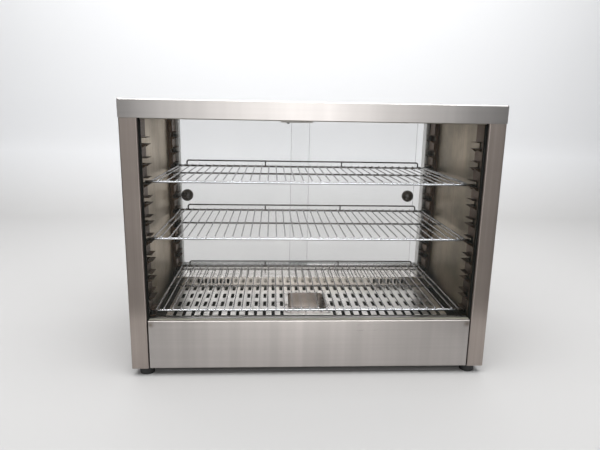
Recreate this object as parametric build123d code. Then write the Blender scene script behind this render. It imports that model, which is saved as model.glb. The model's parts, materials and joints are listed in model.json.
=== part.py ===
from build123d import *
import os
import math

os.makedirs("parts", exist_ok=True)

# ---------------------------------------------------------------- driving sizes
# All in millimetres.  Working frame: X to the right seen from the customer
# side, Y from the front face to the back, Z up from the underside of the body
# panels.  save() moves each piece to the resting frame (feet on Z = 0, origin
# under the middle of the whole object).
BODY_W = 850.0        # over the side panels
BODY_D = 480.0        # front column face to rear flange
COL_W = 40.0          # column face width
COL_TOP = 584.0       # top of the columns
LID_Z0, LID_Z1 = 584.4, 624.9
LID_OVER = 1.5        # lid overhang on every side
T = 1.2               # skin sheet
FOLD_R = 2.4          # centre-line fold radius
FOOT_H = 21.0
FOOT_D = 37.0
FOOT_X, FOOT_Y0, FOOT_Y1 = 395.0, 27.0, 428.0
FASCIA_H = 120.0
FASCIA_X = 382.0      # half width, leaves a 3 mm shadow gap to each column
KNOB_END = 498.0      # rearmost point of the object
WALL_X = 398.0        # inner wall face
LADDER_X = 385.0      # proud face of the rack strips
LADDER_Y = ((22.0, 70.0), (385.0, 433.0))
RACK_Z0, RACK_PITCH, RACK_N = 124.6, 45.0, 10
SHELF_X, SHELF_Y0, SHELF_Y1, SHELF_YM = 376.0, 57.0, 427.0, 236.0
SHELF_END = 388.5     # front and rear rods reach into the rack notches
SHELF_LEVEL = {"bottom": 0, "middle": 4, "top": 7}   # rack notch each shelf sits in
ROD_R, CROSS_R, WIRE_R = 3.0, 2.5, 1.6
WIRE_PITCH, WIRE_K = 21.0, 17
RAIL_R, RAIL_H, RAIL_X, RAIL_POST = 2.2, 16.0, 351.5, 116.0
PLATE_Z, PLATE_X, PLATE_Y0, PLATE_Y1 = 95.0, 362.0, 99.0, 334.0
SLOT_PITCH, SLOT_K, SLOT_W, SLOT_L = 22.7, 15, 8.8, 35.0
SLOT_ROWS = (115.5, 176.5, 238.0, 299.5)
PAN_X, PAN_Y0, PAN_Y1, PAN_DEPTH = 50.0, 120.0, 257.0, 45.0
SILL_Y, SILL_Z = 334.0, 119.0
DOOR_T = 4.0
DOOR_L_Y, DOOR_R_Y = 448.0, 466.0     # front faces of the two sliding panes
DOOR_W = 394.0
DOOR_Z0, DOOR_Z1 = 121.0, 590.0
RIGHT_DOOR_GAP = 20.0                 # right door stands this far from closed
JAMB_X = 376.5
PULL_R, PULL_H, PULL_EDGE, PULL_Z = 18.0, 10.5, 19.0, 346.0
GLASS_Y0, GLASS_Y1 = 8.0, 12.0

YC = (KNOB_END - LID_OVER) / 2.0


# ---------------------------------------------------------------- helpers
def save(name, shape):
    if isinstance(shape, (list, tuple)):
        shape = Compound(list(shape))
    moved = shape.moved(Location((0, -YC, FOOT_H)))
    export_step(moved, "parts/" + name + ".step")


def box(x0, x1, y0, y1, z0, z1):
    return Solid.make_box(x1 - x0, y1 - y0, z1 - z0).moved(Location((x0, y0, z0)))


def mirror_x(shape):
    return shape.mirror(Plane.YZ)


def one(shape):
    """The single solid of a boolean result."""
    s = shape.solids()
    return s[0] if len(s) == 1 else shape


def cyl(axis, cx, cy, cz, r, length):
    """Cylinder from (cx, cy, cz) along +axis."""
    d = {"x": (1, 0, 0), "y": (0, 1, 0), "z": (0, 0, 1)}[axis]
    return Solid.make_cylinder(r, length, Plane(origin=(cx, cy, cz), z_dir=d))


def strip_face(pts, t, r):
    """Section of a folded sheet: centre line pts, thickness t, fold radius r."""
    segs = []
    for (x0, y0), (x1, y1) in zip(pts, pts[1:]):
        ln = math.hypot(x1 - x0, y1 - y0)
        segs.append(((x0, y0), (x1, y1), ((x1 - x0) / ln, (y1 - y0) / ln)))

    def side(s):
        lines = []
        for a, b, d in segs:
            nx, ny = -d[1] * s * t / 2, d[0] * s * t / 2
            lines.append(((a[0] + nx, a[1] + ny), (b[0] + nx, b[1] + ny), d))
        edges, cur = [], lines[0][0]
        for i in range(1, len(lines)):
            (ax, ay), _, d1 = lines[i - 1]
            (bx, by), _, d2 = lines[i]
            cross = d1[0] * d2[1] - d1[1] * d2[0]
            k = ((bx - ax) * d2[1] - (by - ay) * d2[0]) / cross
            c = (ax + d1[0] * k, ay + d1[1] * k)
            turn = 1.0 if cross > 0 else -1.0
            rr = r - s * turn * t / 2
            th = math.acos(max(-1, min(1, d1[0] * d2[0] + d1[1] * d2[1])))
            tl = rr * math.tan(th / 2)
            p1 = (c[0] - d1[0] * tl, c[1] - d1[1] * tl)
            p2 = (c[0] + d2[0] * tl, c[1] + d2[1] * tl)
            o = (p1[0] - d1[1] * turn * rr, p1[1] + d1[0] * turn * rr)
            ol = math.hypot(c[0] - o[0], c[1] - o[1])
            m = (o[0] + (c[0] - o[0]) / ol * rr, o[1] + (c[1] - o[1]) / ol * rr)
            edges.append(Edge.make_line(cur, p1))
            edges.append(Edge.make_three_point_arc(p1, m, p2))
            cur = p2
        edges.append(Edge.make_line(cur, lines[-1][1]))
        return edges, lines[0][0], lines[-1][1]

    le, l0, l1 = side(1)
    re, r0, r1 = side(-1)
    return Face(Wire(le + [Edge.make_line(l1, r1)] + re + [Edge.make_line(r0, l0)]))


def poly_face(pts):
    return Face(Wire.make_polygon(pts, close=True))


def along_x(face, x0, x1):
    """Section given as (y, z), extruded along X."""
    p = Plane(origin=(x0, 0, 0), x_dir=(0, 1, 0), z_dir=(1, 0, 0))
    return Solid.extrude(face.moved(Location(p)), Vector(x1 - x0, 0, 0))


def along_y(face, y0, y1):
    """Section given as (x, z), extruded along Y."""
    p = Plane(origin=(0, y0, 0), x_dir=(1, 0, 0), z_dir=(0, -1, 0))
    return Solid.extrude(face.moved(Location(p)), Vector(0, y1 - y0, 0))


def along_z(face, z0, z1):
    """Section given as (x, y), extruded along Z."""
    return Solid.extrude(face.moved(Location((0, 0, z0))), Vector(0, 0, z1 - z0))


def round_box(x0, x1, y0, y1, z0, z1, r):
    f = RectangleRounded(x1 - x0, y1 - y0, r).face()
    f = f.moved(Location(((x0 + x1) / 2, (y0 + y1) / 2, z0)))
    return Solid.extrude(f, Vector(0, 0, z1 - z0))


# ---------------------------------------------------------------- lid
hw = BODY_W / 2 + LID_OVER
outer = round_box(-hw, hw, -LID_OVER, BODY_D + LID_OVER, LID_Z0, LID_Z1, 4.0)
outer = fillet(outer.faces().sort_by(Axis.Z)[-1].edges(), 3.6)
inner = round_box(-hw + T, hw - T, -LID_OVER + T, BODY_D + LID_OVER - T,
                  LID_Z0 - 1, LID_Z1 - T, 2.8)
inner = fillet(inner.faces().sort_by(Axis.Z)[-1].edges(), 2.4)
save("lid_cap", one(outer - inner))

# ceiling sheet of the food space, stepped up at the rear over the door track
save("roof_liner", along_x(strip_face(
    [(1.0, 584.6), (438.9, 584.6), (438.9, 601.1), (479.2, 601.1), (479.2, 585.0)],
    T, 1.6), -422.8, 422.8))

# ---------------------------------------------------------------- side panels
hx = BODY_W / 2 - T / 2
cx = BODY_W / 2 - COL_W + T / 2
panel = along_z(strip_face([(cx, 21.0), (cx, T / 2), (hx, T / 2),
                            (hx, BODY_D - T / 2), (cx, BODY_D - T / 2), (cx, 438.4)],
                           T, FOLD_R), 0, COL_TOP)
save("side_panel_right", panel)
save("side_panel_left", mirror_x(panel))

wall = along_z(strip_face([(423.2, 22.1), (WALL_X + 0.5, 22.1), (WALL_X + 0.5, 437.2),
                           (423.2, 437.2)], 1.0, 1.6), 22.0, 583.6)
save("inner_wall_right", wall)
save("inner_wall_left", mirror_x(wall))

# ---------------------------------------------------------------- rack strips
def ladder(y0, y1):
    d = WALL_X - 0.2
    body = along_z(strip_face([(d, y0 + 0.6), (LADDER_X + 0.6, y0 + 0.6),
                               (LADDER_X + 0.6, y1 - 0.6), (d, y1 - 0.6)], T, 1.6),
                   100.0, 583.0)
    cuts, tabs = [], []
    lx = LADDER_X
    through = y0 > 200          # rear strips are notched right through both flanges
    a, b = y0 + (4.0 if through else 9.0), y1 - 2.0
    for k in range(RACK_N):
        z = RACK_Z0 + RACK_PITCH * k
        zb, zt = z - 3.3, z + 10.7
        # window through the face, and a notch in the flanges beside it
        cuts.append(box(lx - 1, lx + 2.0, a, y1 + 1, zb, zt))
        if through:
            cuts.append(box(lx - 1, lx + 5.4, y0 - 1, y0 + 4.2, zb, zt - 3.5))
            cuts.append(box(lx - 1, lx + 5.4, y1 - 2.0, y1 + 1, zb, zt - 3.5))
        else:
            cuts.append(box(lx - 1, WALL_X - 3.0, y1 - 2.0, y1 + 1, zb, zt))
        # bottom lip, turned into the cabinet, that carries the shelf rod,
        # with a tapered ear turned down at each end
        tabs.append(box(lx - 12.0, lx + 1.2, a, b, zb - 1.2, zb))
        drop = 2.0 if through and k == 0 else 7.5     # lowest rear ears clear the sill
        for ya in (a, b - 1.2):
            tabs.append(along_y(Face(Wire.make_polygon(
                [(lx + 1.0, zb - 0.3), (lx - 11.6, zb - 0.3), (lx - 1.0, zb - drop),
                 (lx + 1.0, zb - drop)], close=True)), ya, ya + 1.2))
        # top lip that stops the shelf from tipping
        tabs.append(box(lx - 11.0, lx + 1.2, a, b, zt, zt + 1.2))
    return one(body.cut(*cuts).fuse(*tabs))


for tag, (y0, y1) in zip(("front", "rear"), LADDER_Y):
    # the front strip starts just behind the fold of the inner wall
    s = ladder(y0 + (0.8 if tag == "front" else 0.0), y1)
    save("rack_strip_" + tag + "_right", s)
    save("rack_strip_" + tag + "_left", mirror_x(s))

# ---------------------------------------------------------------- lower body
save("front_fascia", along_x(strip_face(
    [(14.0, T / 2), (T / 2, T / 2), (T / 2, FASCIA_H - T / 2), (29.4, FASCIA_H - T / 2),
     (29.4, 102.0)], T, FOLD_R), -FASCIA_X, FASCIA_X))

base = along_y(strip_face(
    [(-422.6, 20.0), (-422.6, 0.75), (422.6, 0.75), (422.6, 20.0)], 1.5, 2.2), 22.0, 437.0)
base = base.fuse(box(-383, 383, 14.6, 23.0, 0, 1.5), box(-383, 383, 436.0, 466.0, 0, 1.5))
base = one(base.cut(*[cyl("z", x, y, -1.0, 2.6, 4.0)
                      for x in (-FOOT_X, FOOT_X) for y in (FOOT_Y0, FOOT_Y1)]))
save("base_pan", base)

save("heater_tray", along_x(strip_face(
    [(33.2, 98.0), (33.2, 20.6), (332.0, 20.6)], T, 2.0), -396.6, 396.6))

sup = along_y(strip_face([(352.0, 82.7), (397.0, 82.7), (397.0, 60.0)], T, 1.8),
              PLATE_Y0, PLATE_Y1 - 1.0)
save("floor_supports", [sup, mirror_x(sup)])

# perforated floor plate with turned-down rims and an opening for the water pan
plate = round_box(-PLATE_X, PLATE_X, PLATE_Y0, PLATE_Y1 - 1.0, 83.5, PLATE_Z, 3.0)
plate = fillet(plate.faces().sort_by(Axis.Z)[-1].edges(), 1.8)
hollow = box(-PLATE_X + 1.3, PLATE_X - 1.3, PLATE_Y0 + 1.3, PLATE_Y1 - 2.3, 80, PLATE_Z - 1.3)
slot = Solid.extrude(RectangleRounded(SLOT_W, SLOT_L, 2.2).face(), Vector(0, 0, 6))
slots = []
for r, y in enumerate(SLOT_ROWS):
    for k in range(-SLOT_K, SLOT_K + 1):
        if r < 3 and abs(k) <= 2:
            continue
        slots.append(slot.moved(Location((k * SLOT_PITCH, y, PLATE_Z - 3))))
pan_hole = round_box(-PAN_X - 3, PAN_X + 3, PAN_Y0 - 3, PAN_Y1 + 3, 80, 100, 14)
save("floor_plate", one(plate.cut(hollow, pan_hole, *slots)))

# water pan: a lift-out drawn dish with a flat rim
z1 = PLATE_Z + 0.2
dish = round_box(-PAN_X - 1, PAN_X + 1, PAN_Y0 - 1, PAN_Y1 + 1, z1 - PAN_DEPTH, z1 + 1.0, 12)
dish = fillet(dish.faces().sort_by(Axis.Z)[0].edges(), 5.0)
rim = round_box(-PAN_X - 11, PAN_X + 11, PAN_Y0 - 11, PAN_Y1 + 11, z1, z1 + 1.0, 16)
bowl = round_box(-PAN_X, PAN_X, PAN_Y0, PAN_Y1, z1 - PAN_DEPTH + 1.0, z1 + 3.0, 11)
bowl = fillet(bowl.faces().sort_by(Axis.Z)[0].edges(), 4.0)
save("water_pan", one(dish.fuse(rim).cut(bowl)))

# ---------------------------------------------------------------- heating
def element():
    z = 62.0
    pts = [(110, 352, z), (110, 122, z), (185, 122, z), (185, 298, z),
           (260, 298, z), (260, 122, z), (335, 122, z), (335, 352, z)]
    path = FilletPolyline(*pts, radius=24)
    sec = Plane(origin=path @ 0, z_dir=path % 0) * Circle(4.0)
    return sweep(sections=sec, path=path).solids()[0]


el = element()
save("heating_element_right", el)
save("heating_element_left", mirror_x(el))
br = along_y(strip_face([(348.0, 21.5), (348.0, 56.9), (97.0, 56.9), (97.0, 21.5)], T, 2.0),
             194.0, 208.0)
save("element_brackets", [br, mirror_x(br)])
bush = []
for x in (-335, -110, 110, 335):
    f = RegularPolygon(9.0, 6).face().moved(Location(Plane(
        origin=(x, SILL_Y + 1.4, 62.0), z_dir=(0, 1, 0))))
    bush.append(one(Solid.extrude(f, Vector(0, 9, 0)) - cyl("y", x, SILL_Y, 62.0, 4.1, 14)))
save("element_bushings", bush)

# ---------------------------------------------------------------- rear sill
sill = along_x(strip_face(
    [(SILL_Y + T / 2, 22.0), (SILL_Y + T / 2, SILL_Z - T / 2), (477.0, SILL_Z - T / 2),
     (477.0, 100.0)], T, FOLD_R), -FASCIA_X - 2.0, FASCIA_X + 2.0)
cuts = [cyl("y", x, SILL_Y - 2, 62.0, 4.6, 6) for x in (-335, -110, 110, 335)]
for side in (-1, 1):
    for i in range(10):
        x = side * 263.0 + (i - 4.5) * 10.8
        cuts.append(box(x - 3.0, x + 3.0, SILL_Y - 1, SILL_Y + 2, 98.0, 112.5))
save("rear_sill", one(sill.cut(*cuts)))

# ---------------------------------------------------------------- door tracks
def comb(y0, y1, zb, zt, up):
    """Twin-groove track section: base sheet and three ribs."""
    ribs = [(y0, y0 + 1.4), (458.3, 459.7), (y1 - 1.4, y1)]
    b = 1.4
    if up:
        s = box(-384, 384, y0, y1, zb, zb + b)
    else:
        s = box(-384, 384, y0, y1, zt - b, zt)
    return one(s.fuse(*[box(-384, 384, a, c, zb, zt) for a, c in ribs]))


save("door_track_bottom", comb(440.0, 476.0, SILL_Z, SILL_Z + 4.5, True))
save("door_track_top", comb(440.2, 478.2, 579.0, 600.3, False))
jamb = along_z(strip_face([(384.2, 441.0), (JAMB_X + 0.6, 441.0), (JAMB_X + 0.6, 476.0),
                           (384.2, 476.0)], T, 1.8), SILL_Z + 4.7, 578.8)
save("door_jamb_right", jamb)
save("door_jamb_left", mirror_x(jamb))
save("track_stop_bracket", along_x(strip_face(
    [(425.0, 583.3), (434.0, 583.3), (434.0, 570.5)], 1.2, 1.4), -71.0, 26.0))
save("track_stop_bumper", cyl("y", -48.0, 434.8, 571.8, 4.8, 4.6))

# ---------------------------------------------------------------- sliding doors
def dome():
    """Pull cap standing on the plane z = 0, dome upwards."""
    rs = (PULL_R ** 2 + (PULL_H - 2.0) ** 2) / (2 * (PULL_H - 2.0)) + 0.3
    d = Solid.make_cylinder(PULL_R, PULL_H + 1) & (Pos(0, 0, PULL_H - rs) * Sphere(rs))
    d = one(d)
    return one(d - Solid.make_cylinder(2.6, 5.0).moved(Location((0, 0, -1))))


def at(shape, x, y, z, ydir):
    return shape.moved(Location(Plane(origin=(x, y, z), x_dir=(1, 0, 0), z_dir=(0, ydir, 0))))


def door(tag, x0, y0, px):
    pane = box(x0, x0 + DOOR_W, y0, y0 + DOOR_T, DOOR_Z0, DOOR_Z1)
    pane = chamfer(pane.edges(), 1.2)
    pane = one(pane - cyl("y", px, y0 - 1, PULL_Z, 2.8, DOOR_T + 2))
    save("door_glass_" + tag, pane)
    save("door_pull_" + tag + "_inside", one(at(dome(), px, y0 - 0.1, PULL_Z, -1)))
    save("door_pull_" + tag + "_outside", one(at(dome(), px, y0 + DOOR_T + 0.1, PULL_Z, 1)))
    save("door_pull_" + tag + "_screw", cyl("y", px, y0 - 3.6, PULL_Z, 2.4, DOOR_T + 7.2))


door("left", -376.0, DOOR_L_Y, -376.0 + PULL_EDGE)
rx = 376.0 - RIGHT_DOOR_GAP
door("right", rx - DOOR_W, DOOR_R_Y, rx - PULL_EDGE)

# ---------------------------------------------------------------- front pane
save("front_glass", chamfer(box(-383.4, 383.4, GLASS_Y0, GLASS_Y1, 121.2, 582.8).edges(), 0.4))
side_ch = one(box(381.4, 384.8, 5.6, 14.4, FASCIA_H + 0.1, 583.8)
              - box(378.0, 383.7, 7.7, 12.3, FASCIA_H - 1, 590))
save("glass_channel_right", side_ch)
save("glass_channel_left", mirror_x(side_ch))
save("glass_channel_bottom", one(box(-381.2, 381.2, 6.2, 13.8, FASCIA_H + 0.1, 121.8)
                                 - box(-382, 382, 7.7, 12.3, 121.0, 130)))
save("glass_channel_top", one(box(-381.2, 381.2, 6.2, 13.8, 582.3, 583.9)
                              - box(-382, 382, 7.7, 12.3, 575, 583.2)))

# ---------------------------------------------------------------- rear controls
TX, SX, LX, GX, CZ = -250.0, -175.0, -130.0, 330.0, 60.0
rear = along_x(strip_face([(466.5, T / 2), (BODY_D - T / 2, T / 2),
                           (BODY_D - T / 2, 117.0)], T, FOLD_R), -FASCIA_X, FASCIA_X)
rear = one(rear.cut(cyl("y", TX, 470, CZ, 4.5, 20),
                    box(SX - 9.8, SX + 9.8, 470, 490, CZ - 14.4, CZ + 14.4),
                    cyl("y", LX, 470, CZ, 6.3, 20), cyl("y", GX, 470, CZ, 10.4, 20)))
save("rear_control_panel", rear)
scr = []
for x in (-366, 366):
    for z in (22.0, 96.0):
        h = fillet(cyl("y", x, BODY_D + 0.05, z, 4.0, 2.4).faces().sort_by(Axis.Y)[-1].edges(), 1.2)
        scr.append(one(h - box(x - 2.8, x + 2.8, BODY_D + 1.5, BODY_D + 4, z - 0.5, z + 0.5)))
save("panel_screws", scr)

tb = box(TX - 22, TX + 22, 436, 478.4, CZ - 24, CZ + 24)
tb = fillet(tb.edges().filter_by(Axis.Y), 4)
save("thermostat_body", one(tb - cyl("y", TX, 464, CZ, 3.4, 20)))
shaft = one(cyl("y", TX, 465.0, CZ, 3.0, 28.0) - box(TX - 4, TX + 4, 486, 494, CZ + 2.0, CZ + 5))
save("thermostat_shaft", shaft)
kn = cyl("y", TX, 481.0, CZ, 21.0, 4.0)
kn = kn.fuse(cyl("y", TX, 484.0, CZ, 14.5, KNOB_END - 484.0))
kn = one(kn)
kn = fillet(kn.faces().sort_by(Axis.Y)[-1].edges(), 1.6)
kn = one(kn - cyl("y", TX, 480, CZ, 3.05, 14.0))
kn = one(kn.fuse(box(TX - 1.6, TX + 1.6, 484.5, KNOB_END, CZ + 8, CZ + 20.0)))
save("thermostat_knob", kn)

hs = box(SX - 9.5, SX + 9.5, 463.0, 482.0, CZ - 14.0, CZ + 14.0)
bz = fillet(box(SX - 12, SX + 12, 480.1, 482.4, CZ - 17, CZ + 17).edges().filter_by(Axis.Y), 2)
hs = one(hs.fuse(bz).cut(box(SX - 7.8, SX + 7.8, 466.0, 490, CZ - 12.5, CZ + 12.5)))
save("switch_housing", hs)
prof = [(-8, -4), (0, -11), (6, -11), (4.5, 0), (6, 11), (0, 11), (-8, 4)]
ang = math.radians(-10)
prof = [(477.0 + a * math.cos(ang) - b * math.sin(ang),
         CZ + a * math.sin(ang) + b * math.cos(ang)) for a, b in prof]
rocker = along_x(poly_face([(a, b, 0) for a, b in prof]), SX - 7.3, SX + 7.3)
save("switch_rocker", one(rocker.fuse(cyl("x", SX - 7.7, 477.0, CZ, 1.5, 15.4))))

lb = one(cyl("y", LX, 455, CZ, 5.9, 26).fuse(cyl("y", LX, 480.1, CZ, 8.0, 2.2)))
save("pilot_lamp_body", one(lb - cyl("y", LX, 478.6, CZ, 5.0, 10)))
lens = cyl("y", LX, 479.0, CZ, 4.8, 6.0)
save("pilot_lamp_lens", one(fillet(lens.faces().sort_by(Axis.Y)[-1].edges(), 2.0)))

hexf = RegularPolygon(13.0, 6).face().moved(Location(Plane(origin=(GX, 480.2, CZ), z_dir=(0, 1, 0))))
gl = one(Solid.extrude(hexf, Vector(0, 5, 0)).fuse(cyl("y", GX, 466, CZ, 10.0, 15),
                                                   cyl("y", GX, 485, CZ, 9.5, 8)))
gl = fillet(gl.faces().sort_by(Axis.Y)[-1].edges(), 2.0)
save("cable_gland", one(gl))

tbk = box(250, 310, 400, 424, 1.6, 20)
holes = [cyl("z", 262 + 18 * i, y, 12, 2.4, 12) for i in range(3) for y in (406, 418)]
save("terminal_block", one(tbk.cut(*holes)))

# ---------------------------------------------------------------- feet
feet, screws = [], []
for x in (-FOOT_X, FOOT_X):
    for y in (FOOT_Y0, FOOT_Y1):
        f = Solid.make_cone(FOOT_D / 2 - 1.5, FOOT_D / 2, FOOT_H).moved(Location((x, y, -FOOT_H)))
        f = fillet(f.faces().sort_by(Axis.Z)[0].edges(), 1.5)
        f = one(f - cyl("z", x, y, -FOOT_H - 1, 6.0, 13.0) - cyl("z", x, y, -FOOT_H, 2.6, FOOT_H + 1))
        feet.append(f)
        s = cyl("z", x, y, -11.6, 4.6, 2.5).fuse(cyl("z", x, y, -11.6, 2.4, 16.0))
        screws.append(one(s))
save("feet", feet)
save("foot_screws", screws)

# ---------------------------------------------------------------- wire shelves
def shelf(z):
    rods = []
    for y in (SHELF_Y0, SHELF_Y1):
        rod = cyl("x", -SHELF_END, y, z, ROD_R, 2 * SHELF_END)
        rods.append(fillet(rod.edges().filter_by(GeomType.CIRCLE), 1.2))
    for x in (-SHELF_X, SHELF_X):
        rods.append(cyl("y", x, SHELF_Y0, z, CROSS_R, SHELF_Y1 - SHELF_Y0))
    rods.append(cyl("x", -SHELF_X, SHELF_YM, z, CROSS_R - 0.1, 2 * SHELF_X))
    zw = z + ROD_R + WIRE_R - 0.9      # cross wires sunk into the rods at the welds
    for k in range(-WIRE_K, WIRE_K + 1):
        rods.append(cyl("y", k * WIRE_PITCH, SHELF_Y0 - 3.2, zw, WIRE_R, SHELF_Y1 - SHELF_Y0 + 6.4))
    return rods[0].fuse(*rods[1:])


def rail(z):
    zt = z + RAIL_H
    path = FilletPolyline((-RAIL_X, SHELF_Y1, z + ROD_R - 0.1), (-RAIL_X, SHELF_Y1, zt),
                          (RAIL_X, SHELF_Y1, zt), (RAIL_X, SHELF_Y1, z + ROD_R - 0.1), radius=6)
    w = sweep(sections=Plane(origin=path @ 0, z_dir=path % 0) * Circle(RAIL_R), path=path).solids()[0]
    posts = [cyl("z", x, SHELF_Y1, z + ROD_R - 0.1, RAIL_R - 0.2, RAIL_H - ROD_R)
             for x in (-RAIL_POST, RAIL_POST)]
    return one(w.fuse(*posts))


for tag, level in SHELF_LEVEL.items():
    z = RACK_Z0 + RACK_PITCH * level
    save("shelf_" + tag, one(shelf(z)))
    save("shelf_" + tag + "_rail", rail(z))
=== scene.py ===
import bpy
import json
import math
from mathutils import Matrix, Vector

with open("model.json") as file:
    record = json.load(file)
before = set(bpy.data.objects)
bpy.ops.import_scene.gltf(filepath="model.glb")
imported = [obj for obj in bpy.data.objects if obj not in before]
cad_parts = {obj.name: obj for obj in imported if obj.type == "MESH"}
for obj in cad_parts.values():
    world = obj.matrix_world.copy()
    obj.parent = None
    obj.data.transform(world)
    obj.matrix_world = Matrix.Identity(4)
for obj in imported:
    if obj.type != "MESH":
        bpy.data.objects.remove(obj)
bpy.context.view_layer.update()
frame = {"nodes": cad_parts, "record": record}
NODES = frame["nodes"]


# ------------------------------------------------------------------ node helpers
def new_mat(name):
    m = bpy.data.materials.new(name)
    m.use_nodes = True
    nt = m.node_tree
    nt.nodes.clear()
    out = nt.nodes.new("ShaderNodeOutputMaterial")
    b = nt.nodes.new("ShaderNodeBsdfPrincipled")
    nt.links.new(b.outputs[0], out.inputs[0])
    return m, nt, b


def obj_coords(nt):
    return nt.nodes.new("ShaderNodeTexCoord").outputs["Object"]


def noise(nt, vec, scale, detail=2.0, rough=0.5, shift=0.0):
    mp = nt.nodes.new("ShaderNodeMapping")
    mp.inputs["Scale"].default_value = scale
    mp.inputs["Location"].default_value = (shift, shift * 0.7, shift * 1.3)
    nt.links.new(vec, mp.inputs["Vector"])
    n = nt.nodes.new("ShaderNodeTexNoise")
    n.inputs["Scale"].default_value = 1.0
    n.inputs["Detail"].default_value = detail
    n.inputs["Roughness"].default_value = rough
    nt.links.new(mp.outputs[0], n.inputs["Vector"])
    return n.outputs["Fac"]


def remap(nt, fac, lo, hi, a, b):
    r = nt.nodes.new("ShaderNodeMapRange")
    r.inputs["From Min"].default_value = lo
    r.inputs["From Max"].default_value = hi
    r.inputs["To Min"].default_value = a
    r.inputs["To Max"].default_value = b
    nt.links.new(fac, r.inputs["Value"])
    return r.outputs[0]


def math_op(nt, op, a, b=None):
    n = nt.nodes.new("ShaderNodeMath")
    n.operation = op
    for i, x in enumerate((a, b)):
        if x is None:
            continue
        if isinstance(x, (int, float)):
            n.inputs[i].default_value = x
        else:
            nt.links.new(x, n.inputs[i])
    return n.outputs[0]


def mix(nt, fac, a, b, blend="MIX"):
    n = nt.nodes.new("ShaderNodeMix")
    n.data_type = "RGBA"
    n.blend_type = blend
    nt.links.new(fac, n.inputs[0])
    for i, x in ((6, a), (7, b)):
        if isinstance(x, (tuple, list)):
            n.inputs[i].default_value = (x[0], x[1], x[2], 1.0)
        else:
            nt.links.new(x, n.inputs[i])
    return n.outputs[2]


def shade(c, k):
    return tuple(min(1.0, x * k) for x in c)


def bump(nt, b, height, strength, distance):
    n = nt.nodes.new("ShaderNodeBump")
    n.inputs["Strength"].default_value = strength
    n.inputs["Distance"].default_value = distance
    nt.links.new(height, n.inputs["Height"])
    nt.links.new(n.outputs[0], b.inputs["Normal"])


def grain_tangent(nt, b, grain):
    """Highlights run across the brushing: tangent = normal x grain direction."""
    geo = nt.nodes.new("ShaderNodeNewGeometry")
    cr = nt.nodes.new("ShaderNodeVectorMath")
    cr.operation = "CROSS_PRODUCT"
    nt.links.new(geo.outputs["Normal"], cr.inputs[0])
    if grain == "z":
        cr.inputs[1].default_value = (0.02, 0.01, 1)
    elif grain == "y":
        cr.inputs[1].default_value = (0.02, 1, 0.01)
    else:
        sep = nt.nodes.new("ShaderNodeSeparateXYZ")
        nt.links.new(geo.outputs["Normal"], sep.inputs[0])
        side = math_op(nt, "GREATER_THAN", math_op(nt, "ABSOLUTE", sep.outputs[0]), 0.75)
        cmb = nt.nodes.new("ShaderNodeCombineXYZ")
        nt.links.new(math_op(nt, "SUBTRACT", 1.0, side), cmb.inputs[0])
        nt.links.new(side, cmb.inputs[1])
        nt.links.new(cmb.outputs[0], cr.inputs[1])
    nt.links.new(cr.outputs[0], b.inputs["Tangent"])


def steel(name, base, grain="x", rough=0.30, aniso=0.65, streak=0.09, bumpk=0.06,
          tint=None, tint_amt=0.0, tint_scale=6.0, smudge=0.07, shift=0.0, dark_spots=(), painted_reflection_bands=0.0):
    m, nt, b = new_mat(name)
    v = obj_coords(nt)
    fine_s = {"x": (4, 700, 700), "y": (700, 4, 700), "z": (700, 700, 4)}[grain]
    mid_s = {"x": (1.6, 130, 130), "y": (130, 1.6, 130), "z": (130, 130, 1.6)}[grain]
    fine = noise(nt, v, fine_s, 2.0, 0.6, shift)
    mid = noise(nt, v, mid_s, 2.0, 0.5, shift + 3)
    big = noise(nt, v, (tint_scale, tint_scale, tint_scale * 0.8), 4.0, 0.6, shift + 7)
    f = math_op(nt, "ADD", math_op(nt, "MULTIPLY", fine, 0.45), math_op(nt, "MULTIPLY", mid, 0.55))
    f = remap(nt, f, 0.33, 0.67, 0.0, 1.0)
    col = mix(nt, f, shade(base, 1 - streak), shade(base, 1 + streak))
    sm = remap(nt, big, 0.35, 0.65, 0.0, 1.0)
    col = mix(nt, sm, col, shade(base, 1 - smudge))
    if smudge:
        keep = math_op(nt, "MULTIPLY", sm, 0.45)
        col = mix(nt, keep, mix(nt, f, shade(base, 1 - streak), shade(base, 1 + streak)),
                  shade(base, 1 - 2.2 * smudge))
    if painted_reflection_bands:
        # painted reflection: broad soft darker bands across the brushing stand in for the uneven reflections a
        # polished sheet shows
        bs = (16, 0.3, 0.3) if grain == "x" else (0.3, 0.3, 11)
        bn = remap(nt, noise(nt, v, bs, 3.0, 0.6, shift + 1), 0.3, 0.7, 0.0, 1.0)
        col = mix(nt, math_op(nt, "MULTIPLY", bn, painted_reflection_bands), col, shade(base, 0.62))
    if tint:
        amt = math_op(nt, "MULTIPLY", remap(nt, noise(nt, v, (tint_scale * 0.7,) * 3, 3.0, 0.6, shift + 11),
                                            0.32, 0.66, 0.0, 1.0), tint_amt)
        col = mix(nt, amt, col, tint)
    # dark spots of given centre, radius, colour and strength, their edges roughened by noise
    for (px, py, pz), rad, spot_col, amt in dark_spots:
        d = nt.nodes.new("ShaderNodeVectorMath")
        d.operation = "DISTANCE"
        nt.links.new(v, d.inputs[0])
        d.inputs[1].default_value = (px, py, pz)
        wob = math_op(nt, "MULTIPLY", noise(nt, v, (90, 90, 90), 3.0, 0.6, shift + 5), rad * 0.9)
        s = remap(nt, math_op(nt, "ADD", d.outputs["Value"], wob), rad * 0.5, rad * 1.5, amt, 0.0)
        col = mix(nt, s, col, spot_col)
    nt.links.new(col, b.inputs["Base Color"])
    b.inputs["Metallic"].default_value = 1.0
    r = math_op(nt, "ADD", remap(nt, f, 0, 1, rough * 0.96, rough * 1.04),
                remap(nt, big, 0.35, 0.7, -0.01, 0.03))
    nt.links.new(r, b.inputs["Roughness"])
    b.inputs["Anisotropic"].default_value = aniso
    if aniso:
        grain_tangent(nt, b, grain)
    if bumpk:
        bump(nt, b, fine, bumpk, 0.0002)
    return m


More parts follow.
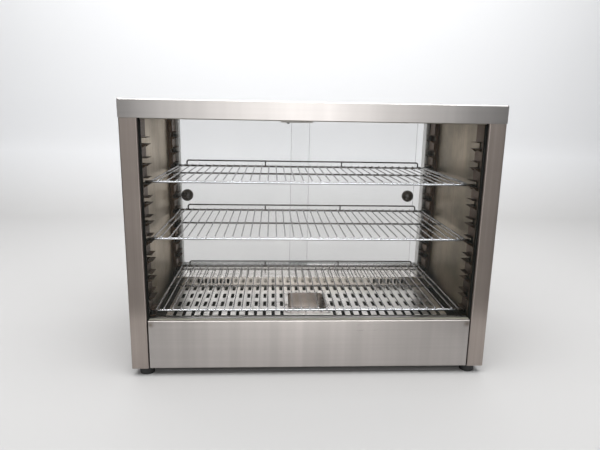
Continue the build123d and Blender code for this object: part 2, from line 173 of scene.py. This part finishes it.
def plastic(name, base, rough=0.4, mottle=0.15, scale=60.0, bumpk=0.05, coat=0.0, spec=0.5):
    m, nt, b = new_mat(name)
    v = obj_coords(nt)
    n1 = noise(nt, v, (scale,) * 3, 4.0, 0.6)
    n2 = noise(nt, v, (scale * 14,) * 3, 2.0, 0.6, 2.0)
    f = remap(nt, n1, 0.35, 0.65, 0.0, 1.0)
    nt.links.new(mix(nt, f, shade(base, 1 - mottle), shade(base, 1 + mottle)), b.inputs["Base Color"])
    nt.links.new(remap(nt, n1, 0.3, 0.7, rough * 0.85, rough * 1.2), b.inputs["Roughness"])
    b.inputs["Specular IOR Level"].default_value = spec
    b.inputs["Coat Weight"].default_value = coat
    b.inputs["Coat Roughness"].default_value = 0.06
    bump(nt, b, n2, bumpk, 0.0002)
    return m


def glass(name, tone=(0.60, 0.68, 0.65), face=0.02, edge=0.8, edge_col=(0.25, 0.42, 0.36)):
    """Thin clear pane: nearly invisible faces, green worked edges."""
    m, nt, b = new_mat(name)
    v = obj_coords(nt)
    nrm = nt.nodes.new("ShaderNodeTexCoord").outputs["Normal"]
    sep = nt.nodes.new("ShaderNodeSeparateXYZ")
    nt.links.new(nrm, sep.inputs[0])
    is_edge = math_op(nt, "LESS_THAN", math_op(nt, "ABSOLUTE", sep.outputs[1]), 0.8)
    haze = remap(nt, noise(nt, v, (5, 5, 4), 5.0, 0.65), 0.4, 0.75, face * 0.94, face * 1.08)
    nt.links.new(math_op(nt, "MAXIMUM", haze, math_op(nt, "MULTIPLY", is_edge, edge)), b.inputs["Alpha"])
    nt.links.new(mix(nt, is_edge, tone, edge_col), b.inputs["Base Color"])
    nt.links.new(remap(nt, noise(nt, v, (30, 30, 30), 3.0, 0.6), 0.3, 0.8, 0.02, 0.10),
                 b.inputs["Roughness"])
    b.inputs["IOR"].default_value = 1.5
    return m


WARM = (0.34, 0.25, 0.15)
H = 0.021
MATS = {
    # lid, side panel and fascia steels carry painted reflection bands across their brushing
    "stainless_lid": steel("lid steel", (0.625, 0.60, 0.585), "x", 0.30, 0.80, 0.04, 0.04,
                          smudge=0.03, painted_reflection_bands=0.34),
    "stainless_skin": steel("panel steel", (0.395, 0.345, 0.315), "z", 0.32, 0.70, 0.09, 0.05, shift=4.0, painted_reflection_bands=0.2),
    "stainless_fascia": steel("fascia steel", (0.50, 0.47, 0.452), "x", 0.29, 0.80, 0.06, 0.05, shift=9.0,
                              smudge=0.05, painted_reflection_bands=0.55,
                              # dark brown spots at both top front corners of the fascia, beside the columns
                              dark_spots=(((-0.376, -0.248, 0.132), 0.010, (0.10, 0.06, 0.03), 0.6),
                                      ((0.376, -0.248, 0.132), 0.010, (0.10, 0.06, 0.03), 0.6))),
    "stainless_inner": steel("heat tinted wall steel", (0.52, 0.43, 0.325), "z", 0.36, 0.45, 0.20, 0.10,
                             tint=(0.24, 0.195, 0.13), tint_amt=0.8, tint_scale=12, shift=2.0),
    "stainless_rack": steel("rack strip steel", (0.10, 0.058, 0.034), "z", 0.42, 0.3, 0.14, 0.06,
                            tint=(0.13, 0.085, 0.055), tint_amt=0.6, tint_scale=22, shift=6.0),
    "stainless_floor": steel("floor plate steel", (0.96, 0.91, 0.88), "x", 0.28, 0.35, 0.07, 0.05,
                             tint=(0.76, 0.74, 0.67), tint_amt=0.5, tint_scale=14, shift=8.0),
    # painted shade: steel hidden below the floor is made near-black so the floor slots read dark
    "stainless_hidden": steel("hidden inner steel with painted shade", (0.028, 0.026, 0.024), "x", 0.5, 0.2, 0.12, 0.06,
                              tint=WARM, tint_amt=0.05, shift=1.0),
    "stainless_pan": steel("drawn pan steel", (0.84, 0.79, 0.75), "x", 0.13, 0.0, 0.04, 0.03,
                           tint=(0.38, 0.33, 0.29), tint_amt=0.45, tint_scale=30, shift=3.0),
    "wire": steel("bright wire", (0.235, 0.225, 0.22), "x", 0.11, 0.0, 0.05, 0.0,
                  tint=(0.14, 0.12, 0.105), tint_amt=0.35, tint_scale=40, shift=5.0),
    "clear_glass": glass("clear pane", face=0.008, edge=0.28, edge_col=(0.16, 0.27, 0.23)),
    "black_rubber": plastic("moulded rubber", (0.022, 0.022, 0.022), 0.62, 0.25, 80, 0.15),
    "black_seal": plastic("glazing channel rubber", (0.010, 0.010, 0.009), 0.7, 0.25, 60, 0.08, spec=0.12),
    "clear_seal": plastic("grey silicone strip", (0.33, 0.31, 0.26), 0.35, 0.15, 60, 0.05),
    "pull_black": plastic("dark polished dome", (0.13, 0.105, 0.09), 0.16, 0.45, 90, 0.03, coat=0.6),
    "black_plastic": plastic("textured black plastic", (0.025, 0.025, 0.026), 0.42, 0.2, 90, 0.12),
    "switch_red": plastic("red rocker plastic", (0.42, 0.02, 0.015), 0.22, 0.10, 50, 0.02, coat=0.4),
    "amber_lens": plastic("amber lamp cap", (0.80, 0.28, 0.03), 0.18, 0.10, 50, 0.02, coat=0.5),
    "track_aluminium": steel("anodised track", (0.62, 0.615, 0.60), "x", 0.34, 0.4, 0.05, 0.04, shift=12.0),
    "element_sheath": steel("oxidised element sheath", (0.16, 0.14, 0.13), "y", 0.5, 0.0, 0.12, 0.05,
                            tint=(0.20, 0.12, 0.08), tint_amt=0.6, tint_scale=30, shift=13.0),
    "brass": steel("turned brass", (0.62, 0.46, 0.20), "z", 0.3, 0.0, 0.06, 0.04, shift=14.0),
    "ceramic": plastic("unglazed ceramic", (0.80, 0.78, 0.72), 0.6, 0.04, 60, 0.10),
    "screw_steel": steel("plated screw steel", (0.50, 0.49, 0.47), "y", 0.3, 0.0, 0.06, 0.03, shift=15.0),
}
# the track and jambs at the back run in different directions
MATS_NODE = {
    "roof_liner": steel("roof steel", (0.30, 0.28, 0.25), "x", 0.38, 0.4, 0.08, 0.05,
                        tint=(0.26, 0.21, 0.14), tint_amt=0.5, shift=16.0),
    "door_jamb_left": steel("jamb aluminium", (0.60, 0.59, 0.57), "z", 0.36, 0.4, 0.05, 0.04, shift=17.0),
    "rear_sill": steel("sill steel", (0.96, 0.92, 0.88), "x", 0.20, 0.3, 0.06, 0.05,
                       tint=(0.80, 0.73, 0.64), tint_amt=0.4, shift=18.0),
    "rear_control_panel": steel("rear panel steel", (0.50, 0.47, 0.44), "x", 0.32, 0.65, 0.06, 0.05, shift=19.0),
}


def paint_rod_highlight(m, y, col):
    """Painted highlight: the front rod of each shelf is coloured near-white in place of the bright reflection of the
    lights along it.
    """
    nt = m.node_tree
    b = [n for n in nt.nodes if n.type == "BSDF_PRINCIPLED"][0]
    src = b.inputs["Base Color"].links[0].from_socket
    sep = nt.nodes.new("ShaderNodeSeparateXYZ")
    nt.links.new(obj_coords(nt), sep.inputs[0])
    front = remap(nt, sep.outputs[1], y, y + 0.0005, 1.0, 0.0)
    nt.links.new(mix(nt, front, src, col), b.inputs["Base Color"])


# painted highlight: near-white, bluish front rods on all wire shelves
paint_rod_highlight(MATS["wire"], -0.1875 - NODES["shelf_top"].matrix_world.translation.y, (0.93, 0.95, 0.98))
MATS_NODE["front_glass"] = glass("front pane", (0.03, 0.036, 0.033), 0.12, edge_col=(0.30, 0.31, 0.25))
# painted shade: the right inner wall gets a darker copy of the heat-tinted wall steel, as it is less lit than the
# left
MATS_NODE["inner_wall_right"] = steel("heat tinted right wall steel with painted shade", (0.395, 0.325, 0.237), "z", 0.38, 0.45,
                                      0.22, 0.10, tint=(0.15, 0.12, 0.08), tint_amt=0.75, tint_scale=12, shift=22.0)
MATS_NODE["door_jamb_right"] = MATS_NODE["door_jamb_left"]
MATS_NODE["door_track_bottom"] = steel("polished bottom track", (0.95, 0.945, 0.94), "x", 0.22, 0.3, 0.04,
                                       0.03, shift=33.0)
for tag in ("top", "middle", "bottom"):
    MATS_NODE["shelf_" + tag + "_rail"] = steel("guard rail wire " + tag, (0.19, 0.18, 0.175), "x", 0.14, 0.0,
                                                0.06, 0.0, shift=31.0)

for sp in frame["record"]["subparts"]:
    o = NODES[sp["node"]]
    m = MATS_NODE.get(sp["node"], MATS[sp["material_slot"]])
    if not o.material_slots:
        o.data.materials.append(m)
    for s in o.material_slots:
        s.material = m


# ------------------------------------------------------------------ stage
def stage_mesh(name, verts, faces, mat, smooth=False):
    me = bpy.data.meshes.new(name)
    me.from_pydata(verts, [], faces)
    me.update()
    o = bpy.data.objects.new(name, me)
    bpy.context.scene.collection.objects.link(o)
    me.materials.append(mat)
    if smooth:
        for p in me.polygons:
            p.use_smooth = True
    return o


def sweep_mat():
    """Pale ground that runs up into a lighter wall."""
    m, nt, b = new_mat("pale sweep")
    v = obj_coords(nt)
    sep = nt.nodes.new("ShaderNodeSeparateXYZ")
    nt.links.new(v, sep.inputs[0])
    nt.links.new(mix(nt, remap(nt, sep.outputs[2], 0.0, 0.35, 0.0, 1.0), (0.56, 0.555, 0.55),
                     (0.79, 0.797, 0.81)), b.inputs["Base Color"])
    b.inputs["Roughness"].default_value = 0.75
    b.inputs["Specular IOR Level"].default_value = 0.2
    return m


W, Y0, YB, R = 5.0, -0.60, 2.1, 0.5
prof = [(Y0, 0.0), (YB - R, 0.0)]
for i in range(1, 13):
    a = math.pi / 2 * i / 12
    prof.append((YB - R + R * math.sin(a), R - R * math.cos(a)))
prof.append((YB, 4.2))
verts, faces = [], []
for y, z in prof:
    verts += [(-W, y, z), (W, y, z)]
for i in range(len(prof) - 1):
    faces.append((2 * i, 2 * i + 1, 2 * i + 3, 2 * i + 2))
stage_mesh("sweep", verts, faces, sweep_mat(), smooth=True)

# ------------------------------------------------------------------ light
world = bpy.data.worlds.new("room")
bpy.context.scene.world = world
world.use_nodes = True
wn = world.node_tree
wn.nodes.clear()
wo = wn.nodes.new("ShaderNodeOutputWorld")
bg = wn.nodes.new("ShaderNodeBackground")
tc = wn.nodes.new("ShaderNodeTexCoord")
sp = wn.nodes.new("ShaderNodeSeparateXYZ")
wn.links.new(tc.outputs["Generated"], sp.inputs[0])
up = remap(wn, sp.outputs[2], -0.25, 0.35, 0.0, 1.0)
wn.links.new(mix(wn, up, (0.045, 0.042, 0.040), (0.26, 0.262, 0.265)), bg.inputs["Color"])
bg.inputs["Strength"].default_value = 1.0
wn.links.new(bg.outputs[0], wo.inputs[0])


def area(name, loc, target, sx, sy, energy, col=(1, 1, 1)):
    d = bpy.data.lights.new(name, "AREA")
    d.shape = "RECTANGLE"
    d.size, d.size_y = sx, sy
    d.energy = energy
    d.color = col
    o = bpy.data.objects.new(name, d)
    o.location = loc
    o.rotation_euler = (Vector(target) - Vector(loc)).to_track_quat("-Z", "Y").to_euler()
    bpy.context.scene.collection.objects.link(o)
    return o


area("overhead", (0.0, -0.7, 2.6), (0, 0, 0.3), 3.2, 1.8, 64)
area("top_strip", (0.0, -1.75, 2.35), (0, 0, 0.3), 3.0, 0.14, 20, (0.96, 0.98, 1.0))
area("front_wide", (0.10, -3.04, 0.6), (0.10, 0, 0.6), 2.35, 3.2, 18, (1.0, 0.985, 0.97))
area("front_mid", (0.08, -3.02, 0.6), (0.08, 0, 0.6), 1.25, 3.2, 8.2, (1.0, 0.985, 0.975))
area("front_core", (0.18, -3.0, 0.6), (0.18, 0, 0.6), 0.42, 3.2, 1.9, (1.0, 0.98, 0.98))
area("side_right", (2.6, -1.3, 1.1), (0, 0, 0.4), 0.9, 2.2, 3)
area("side_left", (-2.6, -1.3, 1.1), (0, 0, 0.4), 0.9, 2.2, 7)
area("back_wash", (0.0, 0.95, 2.6), (0, 2.1, 0.9), 4.0, 0.8, 41)
bpy.context.scene.view_settings.view_transform = "Standard"

# ------------------------------------------------------------------ camera
yaw, pitch, roll = 0.0558662997, 0.216125446, 0.0182390547
fwd = Vector((math.sin(yaw) * math.cos(pitch), math.cos(yaw) * math.cos(pitch), -math.sin(pitch)))
right = Vector((math.cos(yaw), -math.sin(yaw), 0.0))
upv = right.cross(fwd)
r2 = right * math.cos(roll) + upv * math.sin(roll)
u2 = -right * math.sin(roll) + upv * math.cos(roll)
cd = bpy.data.cameras.new("camera")
cd.sensor_width = 36.0
cd.lens = 512.191195 / 600.0 * 36.0
cd.clip_start = 0.02
cam = bpy.data.objects.new("camera", cd)
mat = Matrix((r2, u2, -fwd)).transposed().to_4x4()
mat.translation = Vector((-0.0950817777, -1.13305067 - 0.24825, 0.601132925 + H))
cam.matrix_world = mat
bpy.context.scene.collection.objects.link(cam)
bpy.context.scene.camera = cam

bpy.context.view_layer.update()
